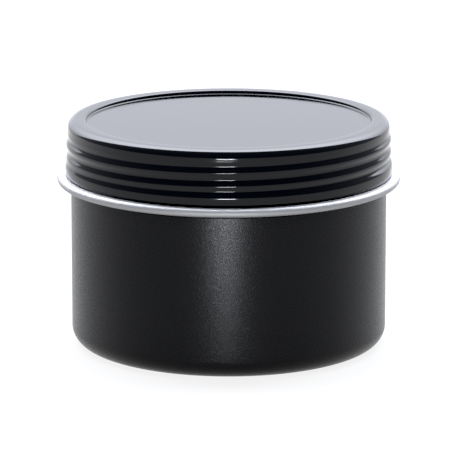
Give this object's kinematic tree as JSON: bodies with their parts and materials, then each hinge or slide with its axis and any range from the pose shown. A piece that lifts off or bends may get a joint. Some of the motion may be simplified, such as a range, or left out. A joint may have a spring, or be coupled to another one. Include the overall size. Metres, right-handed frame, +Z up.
{
  "type": "shoe polish tin",
  "caption": "Round metal tin of shoe polish with a screw lid on a threaded neck, a rolled bead below the lid, a foam liner and a cake of wax inside.",
  "frame": {"origin": "centre of the underside of the base, on the plane that the tin stands on", "axes": "+Z up along the axis of the tin, from the base to the lid; the tin is round, so X and Y differ only in the phase of the thread"},
  "size_m": [0.09, 0.09, 0.0601],
  "materials": {
    "body_enamel": "satin black enamel with a fine sparkle outside, bare silver metal on the neck, the bead and the inside",
    "lid_enamel": "gloss black enamel outside, bare silver metal inside",
    "liner_foam": "white closed-cell foam, soft sheen",
    "wax": "poured black wax, satin"
  },
  "bodies": {
    "tin": {"tin_body": "body_enamel", "polish": "wax"},
    "liner": {"liner_disc": "liner_foam"},
    "lid": {"lid": "lid_enamel"}
  },
  "joints": [
    {"name": "lid_rise", "type": "slide", "parent": "tin", "child": "liner", "axis": [0, 0, 1], "range_m": [0, 0.014]},
    {"name": "lid_turn", "type": "hinge", "parent": "liner", "child": "lid", "pos_m": [0, 0, 0.0525], "axis": [0, 0, 1], "range_deg": [0, 1440]}
  ],
  "couplings": [
    {"joint": "lid_rise", "follows": "lid_turn", "m_per_rad": 0.00055704}
  ]
}
